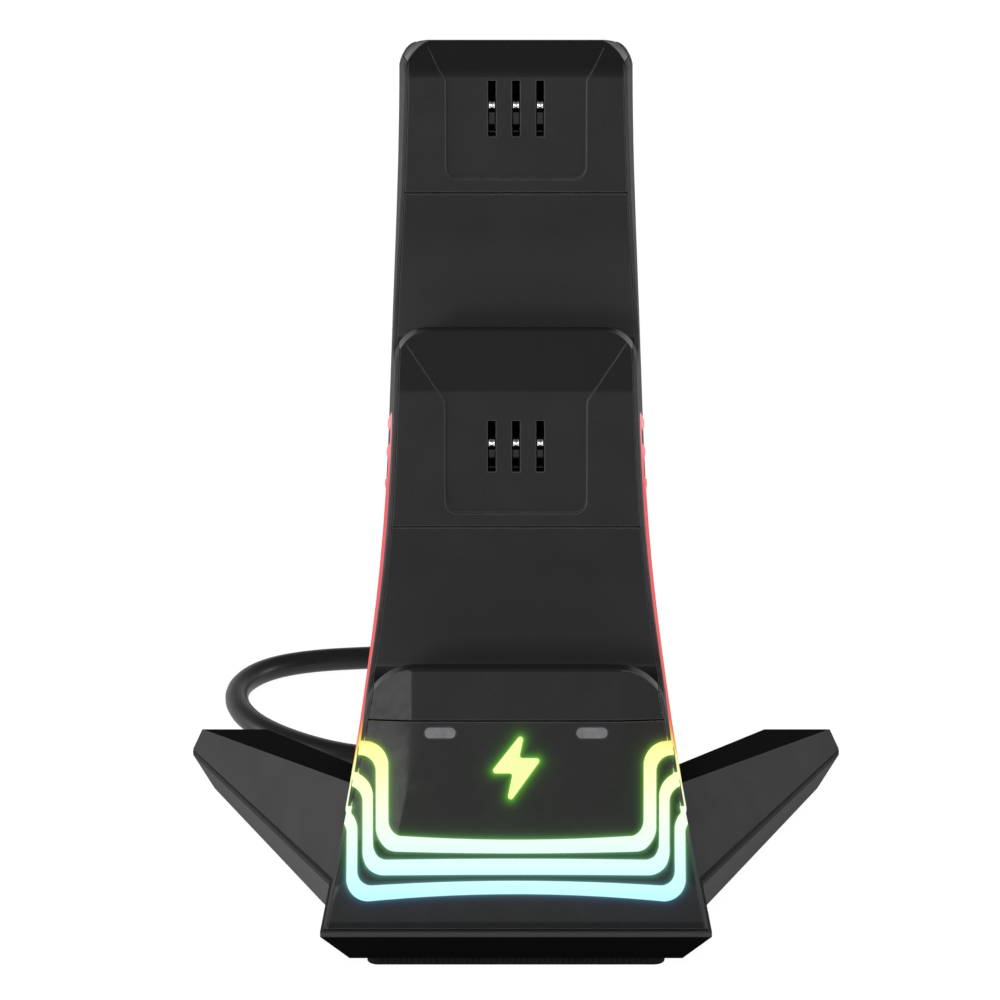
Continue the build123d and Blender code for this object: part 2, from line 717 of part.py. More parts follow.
bend_radii = lead_radii(lead_points)
print("lead bend radii", [round(radius, 1) for radius in bend_radii])
lead_path = FilletPolyline(*lead_points, radius=bend_radii)
lead_start = Plane(lead_path @ 0, z_dir=lead_path % 0)
lead = sweep(lead_start * Circle(lead_d / 2), path=lead_path)
print("lead length", round(lead_path.length, 1), "volume ratio",
      round(lead.volume / (lead_path.length * math.pi * lead_d ** 2 / 4), 4))

coil_section = (coil_wide * lead_d, coil_high * lead_d)
coil_face = Plane.XZ * Pos(coil_mean_r, coil_section[1] / 2) * RectangleRounded(*coil_section, coil_round)
coil = Pos(*coil_center, 0) * revolve(coil_face, Axis.Z)
tie_outer = (coil_section[0] + 2 * tie_thick, coil_section[1] + tie_thick)
tie_face = Pos(coil_mean_r, tie_outer[1] / 2) * Rectangle(*tie_outer)
tie_face -= Pos(coil_mean_r, coil_section[1] / 2) * Rectangle(*coil_section)
tie_arc = math.degrees(tie_width / coil_mean_r)
tie = Pos(*coil_center, 0) * Rot(0, 0, tie_angle) * revolve(Plane.XZ * tie_face, Axis.Z, tie_arc)

end_x = coil_center[0] + coil_mean_r + (coil_wide - 1) * lead_d / 2
end_y = coil_center[1] - lead_end_start
end_axis = Plane((end_x, end_y, lead_d / 2), x_dir=(1, 0, 0), z_dir=(0, -1, 0))
lead_end = end_axis * Cylinder(lead_d / 2, lead_end_length, align=low_end)
plug_z = max(plug_body[2], lead_d) / 2
plug_axis = Plane((end_x, end_y - lead_end_length, plug_z), x_dir=(1, 0, 0), z_dir=(0, -1, 0))
tail_width, tail_height, tail_length = plug_tail
grip_face = Pos(0, 0, tail_length) * RectangleRounded(plug_body[0], plug_body[2], plug_round)
tail = loft([RectangleRounded(tail_width, tail_height, plug_round), grip_face])
plug = plug_axis * (tail + extrude(grip_face, plug_body[1] - tail_length))
shell_face = RectangleRounded(plug_shell[0], plug_shell[2], plug_shell_round)
shell_bore = Rectangle(plug_shell[0] - 2 * plug_shell_wall, plug_shell[2] - 2 * plug_shell_wall)
tongue = Rectangle(plug_shell[0] - 2 * plug_shell_wall, plug_shell[2] / 2 - plug_shell_wall)
shell = extrude(shell_face - shell_bore, plug_shell[1]) + extrude(shell_face, plug_shell_back)
shell += extrude(Pos(0, plug_shell[2] / 4) * tongue, plug_shell[1] - plug_shell_back)
metal = plug_axis * Pos(0, 0, plug_body[1]) * shell


# Wires inside: from the inlet to the main board, and from there to the two contact boards
def wire(points, radius, bend):
    path = FilletPolyline(*points, radius=bend)
    return sweep(Plane(path @ 0, z_dir=path % 0) * Circle(radius), path=path)


board_top = board_z + board_thick
inner_lead = Plane((0, flange_y, board_top + inner_lead_r), z_dir=(0, -1, 0)) * Cylinder(
    inner_lead_r, flange_y - main_board_y - main_board_size[1] / 2 + 3 * inner_lead_r, align=low_end)


def harness(frame, side):
    behind = cover + holder_gap + holder_size[2] + board_thick + harness_r
    end = (frame * Pos(side * harness_x, -holder_size[1] / 4, -behind)).position
    x = side * harness_x
    start_y = main_board_y + main_board_size[1] / 2 - 3 * harness_r
    heights = (board_top + harness_riser[0], end.Z - harness_riser[1])
    riser = [(z, back_y(z) - back_wall - 4 * harness_r) for z in heights]
    start_z = board_top + harness_r
    points = [(x, start_y, start_z), (x, start_y + harness_kick[0], start_z + harness_kick[1])]
    points += [(x, y, z) for z, y in riser] + [(x, end.Y, end.Z)]
    return wire(points, harness_r, harness_bend_r)


inside_pieces["inner_lead"] = inner_lead
inside_pieces["lower_harness"] = harness(contact_frames["lower"], -1)
inside_pieces["upper_harness"] = harness(contact_frames["upper"], 1)

pieces = {"rear_housing": housing, **covers, **lenses, **contacts, **base, **inside_pieces}
for index, strip in enumerate(strips):
    pieces[f"light_strip_{index + 1}"] = strip
pieces.update({
    "strain_relief": relief, "lead": lead, "lead_coil": coil, "lead_tie": tie, "lead_end": lead_end,
    "plug_body": plug, "plug_shell": metal,
})
for node, shape in pieces.items():
    save(node, shape)
print(len(pieces), "nodes")
for place, frame in contact_frames.items():
    root = (frame * Pos(0, *leaf_root)).position
    print(place, "contact hinge at", tuple(round(value, 3) for value in root))
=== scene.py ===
import json
import math

import bmesh
import bpy
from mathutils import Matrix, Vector
from mathutils.bvhtree import BVHTree


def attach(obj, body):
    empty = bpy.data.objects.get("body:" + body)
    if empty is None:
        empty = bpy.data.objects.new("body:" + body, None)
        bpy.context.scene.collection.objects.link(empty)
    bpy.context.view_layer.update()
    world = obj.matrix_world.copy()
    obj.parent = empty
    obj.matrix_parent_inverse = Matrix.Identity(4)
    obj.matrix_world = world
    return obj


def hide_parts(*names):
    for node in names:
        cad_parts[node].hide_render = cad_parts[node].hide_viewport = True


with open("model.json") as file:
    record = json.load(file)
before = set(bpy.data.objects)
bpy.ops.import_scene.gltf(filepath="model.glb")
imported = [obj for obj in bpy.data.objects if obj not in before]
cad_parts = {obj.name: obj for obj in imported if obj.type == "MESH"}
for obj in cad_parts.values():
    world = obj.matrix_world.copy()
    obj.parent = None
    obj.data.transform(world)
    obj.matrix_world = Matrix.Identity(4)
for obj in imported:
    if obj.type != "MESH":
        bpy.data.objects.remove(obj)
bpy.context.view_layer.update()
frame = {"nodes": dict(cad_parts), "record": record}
nodes = frame["nodes"]
mm = 0.001
scene = bpy.context.scene
scene.view_settings.view_transform = "Standard"
print("frame loaded,", len(nodes), "nodes")


def addObject(name, data):
    item = bpy.data.objects.new(name, data)
    scene.collection.objects.link(item)
    return item


# camera, fitted to the picture
cameraView = {"place": (0, -0.9115, 0.4837), "tilt": 22.0, "lens": 133.2, "sensor": 36.0, "shiftX": -0.016}


def addCamera(view):
    data = bpy.data.cameras.new("dockCamera")
    data.lens = view["lens"]
    data.sensor_width = view["sensor"]
    data.shift_x = view["shiftX"]
    camera = addObject("dockCamera", data)
    camera.location = view["place"]
    camera.rotation_euler = (math.radians(90 - view["tilt"]), 0, 0)
    scene.camera = camera


addCamera(cameraView)


# material helpers; most of a noise lies within noiseSpan, and its middle within noiseCore
noiseSpan = (0.3, 0.7)
noiseCore = (0.35, 0.65)


def newMaterial(name):
    material = bpy.data.materials.new(name)
    material.use_nodes = True
    return material, material.node_tree, material.node_tree.nodes["Principled BSDF"]


def addNode(tree, kind, **settings):
    node = tree.nodes.new(kind)
    for key, value in settings.items():
        setattr(node, key, value)
    return node


def objectNoise(tree, scale, detail=3.0):
    coords = addNode(tree, "ShaderNodeTexCoord")
    noise = addNode(tree, "ShaderNodeTexNoise")
    noise.inputs["Scale"].default_value = scale
    noise.inputs["Detail"].default_value = detail
    tree.links.new(coords.outputs["Object"], noise.inputs["Vector"])
    return noise.outputs["Fac"]


def spread(tree, value, low, high):
    ranged = addNode(tree, "ShaderNodeMapRange")
    ranged.inputs["From Min"].default_value = noiseSpan[0]
    ranged.inputs["From Max"].default_value = noiseSpan[1]
    ranged.inputs["To Min"].default_value = low
    ranged.inputs["To Max"].default_value = high
    tree.links.new(value, ranged.inputs["Value"])
    return ranged.outputs["Result"]


def shades(tree, value, stops):
    ramp = addNode(tree, "ShaderNodeValToRGB")
    elements = ramp.color_ramp.elements
    while len(elements) < len(stops):
        elements.new(0.5)
    for element, (place, colour) in zip(elements, stops):
        element.position = place
        element.color = (*colour, 1)
    tree.links.new(value, ramp.inputs["Fac"])
    return ramp.outputs["Color"]


def mottled(tree, scale, low, high, span=noiseSpan):
    return shades(tree, objectNoise(tree, scale), [(span[0], low), (span[1], high)])


def grey(level):
    return (level, level, level)


def grain(tree, shader, scale, height, strength, normal):
    bump = addNode(tree, "ShaderNodeBump")
    bump.inputs["Strength"].default_value = strength
    bump.inputs["Distance"].default_value = height * mm
    tree.links.new(objectNoise(tree, scale, detail=1.0), bump.inputs["Height"])
    tree.links.new(normal, bump.inputs["Normal"])
    tree.links.new(bump.outputs["Normal"], shader.inputs["Normal"])


# 0 to 1 along one axis of the place ("Object") or of the direction of the face ("Normal")
def axisMask(tree, source, axis, low, high):
    coords = addNode(tree, "ShaderNodeTexCoord")
    split = addNode(tree, "ShaderNodeSeparateXYZ")
    ranged = addNode(tree, "ShaderNodeMapRange")
    ranged.inputs["From Min"].default_value = low
    ranged.inputs["From Max"].default_value = high
    tree.links.new(coords.outputs[source], split.inputs["Vector"])
    tree.links.new(split.outputs[axis], ranged.inputs["Value"])
    return ranged.outputs["Result"]


def blendTone(tree, mask, tone, level):
    mix = addNode(tree, "ShaderNodeMix", data_type="RGBA")
    first = next(socket for socket in mix.inputs if socket.identifier == "A_Color")
    second = next(socket for socket in mix.inputs if socket.identifier == "B_Color")
    result = next(socket for socket in mix.outputs if socket.identifier == "Result_Color")
    factor = next(socket for socket in mix.inputs if socket.identifier == "Factor_Float")
    second.default_value = (*grey(level), 1)
    tree.links.new(mask, factor)
    tree.links.new(tone, first)
    return result


# moulded plastics and rubbers; a painted highlight lightens the colour along each edge, more than the faces
# beside it
paintedEdgeHighlight = {"radius": 0.45, "face": 0.985, "edge": 0.86, "samples": 4}
mouldValues = {"patches": 90, "uneven": 0.07, "roughPatches": 400, "grainStrength": 0.12}
# paintedUpShade: painted shade, faces that point up between these shares take this darker tone; bands: axis,
# start and end in mm, tone; edge: tone of the painted highlight along edges
plastics = {
    "frontPlastic": {
        "base": 0.0145, "edge": 0.072, "rough": (0.27, 0.33), "specular": 0.055,
        "grain": 2600, "height": 0.03,
        # painted shade: below 18 mm the front plastic is darker, on the upright band at the foot of the
        # fascia
        "paintedUpShade": (0.37, 0.47, 0.009), "bands": (("Z", 18.4, 18.0, 0.008),)},
    "shellPlastic": {
        "base": 0.028, "edge": 0.06, "rough": (0.55, 0.65), "specular": 0.03,
        "grain": 2600, "height": 0.03},
    # painted shade: the tray's plastic is darkened to near-black for its shaded underside; it turns lighter
    # from y -33 to -25 mm back; a painted highlight lightens the rim from z 13.6 to 13.9 mm up
    "basePlastic": {
        "base": 0.003, "edge": 0.012, "rough": (0.5, 0.6), "specular": 0.0,
        "grain": 2600, "height": 0.03,
        "bands": (("Y", -33.0, -25.0, 0.07), ("Z", 13.6, 13.9, 0.032))},
    # painted sheen: the leg covers get a lighter plastic, standing for the sheen from the side lamps; painted
    # shade darkens their tops, which point up
    "legPlasticPaintedSheen": {
        "base": 0.040, "edge": 0.068, "rough": (0.5, 0.6), "specular": 0.0,
        "grain": 2600, "height": 0.03,
        "paintedUpShade": (0.85, 0.96, 0.007)},
    "holderPlastic": {
        "base": 0.003, "edge": 0.004, "rough": (0.5, 0.6), "specular": 0.02,
        "grain": 1800, "height": 0.03},
    "footRubber": {
        "base": 0.006, "edge": 0.01, "rough": (0.7, 0.85), "specular": 0.05,
        "grain": 1500, "height": 0.06},
    "leadRubber": {
        "base": 0.006, "edge": 0.006, "rough": (0.36, 0.44), "specular": 0.34,
        "grain": 1900, "height": 0.02},
}


def moulded(name, values):
    material, tree, shader = newMaterial(name)
    base, uneven = values["base"], mouldValues["uneven"]
    tone = mottled(tree, mouldValues["patches"], grey(base * (1 - uneven)), grey(base * (1 + uneven)))
    for axis, low, high, level in values.get("bands", ()):
        tone = blendTone(tree, axisMask(tree, "Object", axis, low * mm, high * mm), tone, level)
    # painted shade on faces that point up
    if "paintedUpShade" in values:
        low, high, level = values["paintedUpShade"]
        tone = blendTone(tree, axisMask(tree, "Normal", "Z", low, high), tone, level)
    # painted highlight: the colour is lightened wherever the bevel normal turns away from the face normal,
    # along every edge
    bevel = addNode(tree, "ShaderNodeBevel", samples=paintedEdgeHighlight["samples"])
    bevel.inputs["Radius"].default_value = paintedEdgeHighlight["radius"] * mm
    geometry = addNode(tree, "ShaderNodeNewGeometry")
    facing = addNode(tree, "ShaderNodeVectorMath", operation="DOT_PRODUCT")
    edge = addNode(tree, "ShaderNodeMapRange")
    edge.inputs["From Min"].default_value = paintedEdgeHighlight["face"]
    edge.inputs["From Max"].default_value = paintedEdgeHighlight["edge"]
    tree.links.new(bevel.outputs["Normal"], facing.inputs[0])
    tree.links.new(geometry.outputs["Normal"], facing.inputs[1])
    tree.links.new(facing.outputs["Value"], edge.inputs["Value"])
    tone = blendTone(tree, edge.outputs["Result"], tone, values["edge"])
    tree.links.new(tone, shader.inputs["Base Color"])
    patches = objectNoise(tree, mouldValues["roughPatches"])
    tree.links.new(spread(tree, patches, *values["rough"]), shader.inputs["Roughness"])
    shader.inputs["Specular IOR Level"].default_value = values["specular"]
    strength = mouldValues["grainStrength"]
    grain(tree, shader, values["grain"], values["height"], strength, bevel.outputs["Normal"])
    return material


finishes = {name: moulded(name, values) for name, values in plastics.items()}

# metals; a contact keeps its bright metal on its head, and is painted dark below it, as painted shade and a
# painted dark reflection where it goes down into the slot
metals = {
    "contactMetal": {
        "base": (0.86, 0.86, 0.87), "rough": (0.08, 0.2), "grain": 900, "paintedDarkLeaf": (0.03, 0.03, 0.03),
        "heads": ((132.9, 135.2), (213.5, 215.8)), "fade": 0.3, "span": (120.0, 230.0)},
    "plugMetal": {"shade": 0.93, "base": (0.66, 0.66, 0.67), "rough": (0.2, 0.34), "grain": 700},
    "screwSteel": {"shade": 0.93, "base": (0.34, 0.34, 0.35), "rough": (0.3, 0.45), "grain": 700},
}


def plated(name, values):
    material, tree, shader = newMaterial(name)
    bright = values["base"]
    # a contact is painted dark below and between its heads, as painted shade and a painted dark reflection
    if "heads" in values:
        low, high = values["span"]
        paintedDarkLeaf, fade = values["paintedDarkLeaf"], values["fade"]
        stops = []
        for start, end in values["heads"]:
            stops += [(start - fade, paintedDarkLeaf), (start, bright), (end, bright), (end + fade, paintedDarkLeaf)]
        placed = [((place - low) / (high - low), colour) for place, colour in stops]
        tone = shades(tree, axisMask(tree, "Object", "Z", low * mm, high * mm), placed)
    else:
        shaded = tuple(values["shade"] * part for part in bright)
        tone = mottled(tree, values["grain"], shaded, bright)
    tree.links.new(tone, shader.inputs["Base Color"])
    patches = objectNoise(tree, values["grain"] * 2)
    tree.links.new(spread(tree, patches, *values["rough"]), shader.inputs["Roughness"])
    shader.inputs["Metallic"].default_value = 1.0
    return material


for name, values in metals.items():
    finishes[name] = plated(name, values)

# lit guides: the colour climbs along them, from pale blue at the foot through yellow to red up the sides
lightColours = {
    "bottom": 20.0,
    "top": 185.0,
    # behind the front corner the colour climbs with the distance back as well
    "corner": -39.0,
    "back": 61.0,
    "climb": 0.8,
    # height in mm, colour
    "stops": [
        (23.0, (0.50, 0.93, 1.0)), (27.0, (0.60, 1.0, 1.0)), (32.0, (0.70, 1.0, 0.97)),
        (38.0, (0.82, 1.0, 0.92)), (46.0, (0.94, 1.0, 0.78)), (54.0, (0.99, 1.0, 0.55)),
        (62.0, (1.0, 1.0, 0.34)), (65.0, (0.93, 0.70, 0.12)), (69.0, (0.88, 0.36, 0.10)),
        (76.0, (0.80, 0.14, 0.13)), (152.0, (0.80, 0.11, 0.13)), (176.0, (0.91, 0.36, 0.38)),
    ],
    "halo": [
        (23.0, (0.02, 0.09, 0.19)), (30.0, (0.06, 0.24, 0.19)), (38.0, (0.09, 0.32, 0.08)),
        (50.0, (0.09, 0.32, 0.01)), (62.0, (0.13, 0.32, 0.01)), (68.0, (0.20, 0.08, 0.01)),
        (90.0, (0.10, 0.01, 0.01)), (176.0, (0.10, 0.02, 0.02)),
    ],
    # share and reach of the near and the wide part of the glow on the plastic
    "spill": ((0.87, 0.55), (0.13, 2.2)),
}


def heightRamp(tree, stops):
    low, high = lightColours["bottom"], lightColours["top"]
    corner, back = lightColours["corner"], lightColours["back"]
    coords = addNode(tree, "ShaderNodeTexCoord")
    split = addNode(tree, "ShaderNodeSeparateXYZ")
    climb = addNode(tree, "ShaderNodeMapRange")
    climb.inputs["From Min"].default_value = corner * mm
    climb.inputs["From Max"].default_value = back * mm
    climb.inputs["To Max"].default_value = (back - corner) * lightColours["climb"] * mm
    along = addNode(tree, "ShaderNodeMath", operation="ADD")
    ranged = addNode(tree, "ShaderNodeMapRange")
    ranged.inputs["From Min"].default_value = low * mm
    ranged.inputs["From Max"].default_value = high * mm
    tree.links.new(coords.outputs["Object"], split.inputs["Vector"])
    tree.links.new(split.outputs["Y"], climb.inputs["Value"])
    tree.links.new(climb.outputs["Result"], along.inputs[0])
    tree.links.new(split.outputs["Z"], along.inputs[1])
    tree.links.new(along.outputs["Value"], ranged.inputs["Value"])
    placed = [((z - low) / (high - low), colour) for z, colour in stops]
    return shades(tree, ranged.outputs["Result"], placed)


litValues = {"base": 0.02, "strength": 1.0, "rough": (0.4, 0.5), "roughPatches": 300}


def lit(name):
    material, tree, shader = newMaterial(name)
    shader.inputs["Emission Strength"].default_value = litValues["strength"]
    shader.inputs["Base Color"].default_value = (*grey(litValues["base"]), 1)
    shader.inputs["Specular IOR Level"].default_value = 0.0
    return material, tree, shader


def litStrip():
    material, tree, shader = lit("litStrip")
    tree.links.new(heightRamp(tree, lightColours["stops"]), shader.inputs["Emission Color"])
    patches = objectNoise(tree, litValues["roughPatches"])
    tree.links.new(spread(tree, patches, *litValues["rough"]), shader.inputs["Roughness"])
    return material


finishes["litStrip"] = litStrip()

emblemGlow = {
    "low": (0.86, 1.0, 0.34), "high": (0.95, 1.0, 0.42), "patches": 60, "rough": 0.4,
    "halo": (0.10, 0.42, 0.01), "spill": ((0.9, 0.7), (0.1, 2.0))}


def litEmblem():
    material, tree, shader = lit("litEmblem")
    tone = mottled(tree, emblemGlow["patches"], emblemGlow["low"], emblemGlow["high"], noiseCore)
    tree.links.new(tone, shader.inputs["Emission Color"])
    shader.inputs["Roughness"].default_value = emblemGlow["rough"]
    return material


finishes["litEmblem"] = litEmblem()

plainValues = {"patches": 500, "roughPatches": 600, "specular": 0.2}
smallParts = {
    "indicatorPlastic": {"low": (0.080, 0.080, 0.083), "high": (0.105, 0.105, 0.108), "rough": (0.3, 0.4)},
    "circuitBoard": {"low": (0.010, 0.07, 0.025), "high": (0.016, 0.10, 0.04), "rough": (0.3, 0.4)},
    "ledBody": {"low": (0.75, 0.72, 0.58), "high": (0.82, 0.80, 0.68), "rough": (0.3, 0.4)},
    "tieStrap": {"low": (0.006, 0.006, 0.006), "high": (0.02, 0.02, 0.02), "rough": (0.75, 0.9)},
}


def plainPart(name, values):
    material, tree, shader = newMaterial(name)
    tone = mottled(tree, plainValues["patches"], values["low"], values["high"], noiseCore)
    tree.links.new(tone, shader.inputs["Base Color"])
    patches = objectNoise(tree, plainValues["roughPatches"])
    tree.links.new(spread(tree, patches, *values["rough"]), shader.inputs["Roughness"])
    shader.inputs["Specular IOR Level"].default_value = plainValues["specular"]
    return material


for name, values in smallParts.items():
    finishes[name] = plainPart(name, values)

slotFinish = {
    "shell_plastic": "shellPlastic", "front_plastic": "frontPlastic", "base_plastic": "basePlastic",
    "holder_plastic": "holderPlastic", "foot_rubber": "footRubber", "lead_rubber": "leadRubber",
    "tie_strap": "tieStrap", "indicator_plastic": "indicatorPlastic", "lit_strip": "litStrip",
    "lit_emblem": "litEmblem", "circuit_board": "circuitBoard", "led_body": "ledBody",
    "screw_steel": "screwSteel", "contact_metal": "contactMetal", "plug_metal": "plugMetal",
}
slotOf = {row["node"]: row["material_slot"] for row in frame["record"]["subparts"]}
# painted light: less light reaches the foot of each panel, behind its trough, so the foot is painted a little
# paler to make up for it
panelFeet = {"lower_panel": (100.0, 76.0), "upper_panel": (182.0, 158.0)}
paintedFootLight = 0.024
# the leg covers take the plastic with painted sheen in place of their slot's finish
ownFinish = {"leg_cover_left": "legPlasticPaintedSheen", "leg_cover_right": "legPlasticPaintedSheen"}
for node, (high, low) in panelFeet.items():
    finishes[node] = moulded(node, {**plastics["frontPlastic"], "bands": (("Z", high, low, paintedFootLight),)})
    ownFinish[node] = node
for node, slot in slotOf.items():
    data = nodes[node].data
    data.materials.clear()
    data.materials.append(finishes[ownFinish.get(node, slotFinish[slot])])
print("finishes set on", len(nodes), "nodes")

# lead: along the floor behind the dock, then wound into a tied coil, out of sight of the camera
leadValues = {
    "diameter": 7.1,
    "length": 0.96,     # metres
    "route": [
        (0, 35, 10.2), (0, 47.6, 10.2), (-4.9, 58.6, 8.8), (-14.2, 66, 6.4), (-26.5, 69.2, 4.4),
        (-40, 72, 3.6), (-57, 77.4, 3.6), (-74.5, 90.5, 3.6), (-84.4, 106, 3.6), (-86.2, 122.3, 3.6),
        (-79, 135.6, 3.6), (-65, 142.6, 3.6), (-44, 145.2, 3.6), (-22, 146.8, 3.6), (-2, 146.5, 3.6),
    ],
    "coilCentre": (0, 109),
    # angle round the coil, radius, height
    "turns": [
        (0, 37.55, 3.6), (300, 37.55, 3.6), (360, 30.45, 3.6), (630, 30.45, 3.6), (690, 30.45, 10.7),
        (930, 30.45, 10.7), (985, 37.55, 10.7), (1140, 37.55, 10.7),
    ],
    "pointsPerTurn": 24,
    "toPlug": [
        (36.6, 120, 10.7), (38.7, 111, 10.5), (39.9, 102, 9.8), (40.1, 93, 8.0), (39.3, 85.5, 5.4),
        (38.2, 81, 4.2), (37.55, 77, 3.8),
    ],
    # smoothness round and along
    "around": 6,
    "along": 8,
}


def coilAt(angle):
    turns = leadValues["turns"]
    for (fromAngle, fromR, fromZ), (toAngle, toR, toZ) in zip(turns, turns[1:]):
        if angle <= toAngle:
            share = (angle - fromAngle) / (toAngle - fromAngle)
            share = share * share * (3 - 2 * share)
            return fromR + (toR - fromR) * share, fromZ + (toZ - fromZ) * share
    return turns[-1][1:]


def coilPoints():
    count = leadValues["pointsPerTurn"]
    pull = math.cos(math.pi / count)          # a spline runs this much inside its points
    step = 360 / count
    centreX, centreY = leadValues["coilCentre"]
    points = []
    angle = step
    while angle <= leadValues["turns"][-1][0]:
        radius, height = coilAt(angle)
        turn = math.radians(angle)
        points.append((
            centreX + radius / pull * math.sin(turn), centreY + radius / pull * math.cos(turn), height))
        angle += step
    return points


# rows of ribs: one node group places a bar or a ring at each step of a line
ringSides = 40


def newGroup(name, inputs):
    group = bpy.data.node_groups.new(name, "GeometryNodeTree")
    group.interface.new_socket(name="Geometry", in_out="OUTPUT", socket_type="NodeSocketGeometry")
    sockets = {
        label: group.interface.new_socket(name=label, in_out="INPUT", socket_type="NodeSocket" + kind)
        for label, kind in inputs.items()}
    return group, {label: socket.identifier for label, socket in sockets.items()}


def rowGroup():
    group, sockets = newGroup("ribRow", {
        "Count": "Int", "Start": "Vector", "Step": "Vector", "Bar": "Vector",
        "Ring Radius": "Float", "Ring Width": "Float", "Rings": "Bool", "Material": "Material"})
    given = addNode(group, "NodeGroupInput")
    line = addNode(group, "GeometryNodeMeshLine")
    bar = addNode(group, "GeometryNodeMeshCube")
    ring = addNode(group, "GeometryNodeMeshCylinder")
    ring.inputs["Vertices"].default_value = ringSides
    turn = addNode(group, "GeometryNodeTransform")
    turn.inputs["Rotation"].default_value = (math.radians(90), 0, 0)
    choice = addNode(group, "GeometryNodeSwitch", input_type="GEOMETRY")
    place = addNode(group, "GeometryNodeInstanceOnPoints")
    real = addNode(group, "GeometryNodeRealizeInstances")
    finish = addNode(group, "GeometryNodeSetMaterial")
    result = addNode(group, "NodeGroupOutput")
    link = group.links.new
    link(given.outputs["Count"], line.inputs["Count"])
    link(given.outputs["Start"], line.inputs["Start Location"])
    link(given.outputs["Step"], line.inputs["Offset"])
    link(given.outputs["Bar"], bar.inputs["Size"])
    link(given.outputs["Ring Radius"], ring.inputs["Radius"])
    link(given.outputs["Ring Width"], ring.inputs["Depth"])
    link(ring.outputs["Mesh"], turn.inputs["Geometry"])
    link(given.outputs["Rings"], choice.inputs["Switch"])
    link(bar.outputs["Mesh"], choice.inputs["False"])
    link(turn.outputs["Geometry"], choice.inputs["True"])
    link(line.outputs["Mesh"], place.inputs["Points"])
    link(choice.outputs["Output"], place.inputs["Instance"])
    link(place.outputs["Instances"], real.inputs["Geometry"])
    link(real.outputs["Geometry"], finish.inputs["Geometry"])
    link(given.outputs["Material"], finish.inputs["Material"])
    link(finish.outputs["Geometry"], result.inputs["Geometry"])
    return group, sockets


ribGroup, ribSockets = rowGroup()


def scaled(values):
    return tuple(part * mm for part in values)


def evaluatedMesh(holder):
    depsgraph = bpy.context.evaluated_depsgraph_get()
    return bpy.data.meshes.new_from_object(holder.evaluated_get(depsgraph))


def addRow(name, values):
    holder = addObject(name, bpy.data.meshes.new(name))
    modifier = holder.modifiers.new("ribs", "NODES")
    modifier.node_group = ribGroup
    modifier[ribSockets["Count"]] = values["count"]
    modifier[ribSockets["Start"]] = scaled(values["start"])
    modifier[ribSockets["Step"]] = scaled(values["step"])
    modifier[ribSockets["Bar"]] = scaled(values.get("bar", (1, 1, 1)))
    modifier[ribSockets["Ring Radius"]] = values.get("radius", 1.0) * mm
    modifier[ribSockets["Ring Width"]] = values.get("width", 1.0) * mm
    modifier[ribSockets["Rings"]] = "radius" in values
    modifier[ribSockets["Material"]] = finishes[values["finish"]]
    mesh = evaluatedMesh(holder)
    holder.modifiers.clear()
    holder.data = mesh
    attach(holder, "dock")
    print(name, "has", len(mesh.polygons), "faces")
    return holder


reliefRibs = {
    "count": 5, "start": (0, 20.5, 10.2), "step": (0, 2.7, 0), "radius": 4.95, "width": 1.3,
    "finish": "leadRubber", "slot": "lead_rubber"}
gripRibs = {
    "count": 8, "start": (37.55, 69.0, 3.8), "step": (0, -2.2, 0), "bar": (15.9, 1.0, 4.6),
    "finish": "leadRubber", "slot": "lead_rubber"}
footRibs = {
    "count": 46, "start": (-36, -44.55, 1.6), "step": (1.6, 0, 0), "bar": (0.7, 0.5, 2.2),
    "finish": "footRubber", "slot": "foot_rubber"}
cordRibs = [addRow("relief_ribs", reliefRibs), addRow("plug_grip_ribs", gripRibs)]
addRow("foot_ribs", footRibs)


def addLead():
    points = leadValues["route"] + coilPoints() + leadValues["toPlug"]
    curve = bpy.data.curves.new("lead_cord", "CURVE")
    curve.dimensions = "3D"
    curve.bevel_depth = leadValues["diameter"] / 2 * mm
    curve.bevel_resolution = leadValues["around"]
    curve.resolution_u = leadValues["along"]
    curve.use_fill_caps = True
    spline = curve.splines.new("NURBS")
    spline.points.add(len(points) - 1)
    for knot, point in zip(spline.points, points):
        knot.co = (*scaled(point), 1)
    spline.order_u = 3
    spline.use_endpoint_u = True
    cord = addObject("lead_cord", curve)
    curve.materials.append(finishes["leadRubber"])
    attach(cord, "dock")
    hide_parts("lead", "lead_coil", "lead_end")
    print("lead laid with", len(points), "points")


addLead()


def surfaceTree(names):
    verts, faces = [], []
    for name in names:
        data = nodes[name].data
        start = len(verts)
        verts += [vertex.co.copy() for vertex in data.vertices]
        faces += [[start + index for index in polygon.vertices] for polygon in data.polygons]
    return BVHTree.FromPolygons(verts, faces)


# light guides on the side walls: each has a rounded bead that follows its path on the wall
sideBeads = {
    "runs": {
        "light_strip_1": {"start": -36.5, "edge": 61.0, "run": -6.0, "top": 136.0, "width": 3.3},
        "light_strip_2": {"start": -39.0, "edge": 53.0, "run": 1.0, "top": 124.7, "width": 3.1},
        "light_strip_3": {"start": -41.5, "edge": 44.6, "run": 8.0, "top": 112.7, "width": 2.7},
    },
    "slope": 0.1792,        # how far back a run leans for each mm that it climbs
    "tailLean": 24.0,
    "tailLength": 40.0,
    "bendRadius": 4.5,
    "bendSteps": 4,
    "spacing": 1.5,
    "outside": 200.0,       # where a ray toward the wall starts
    "sideways": 0.6,        # a face counts as wall if it points this far sideways
    "height": 0.35,
    "around": 12,
}


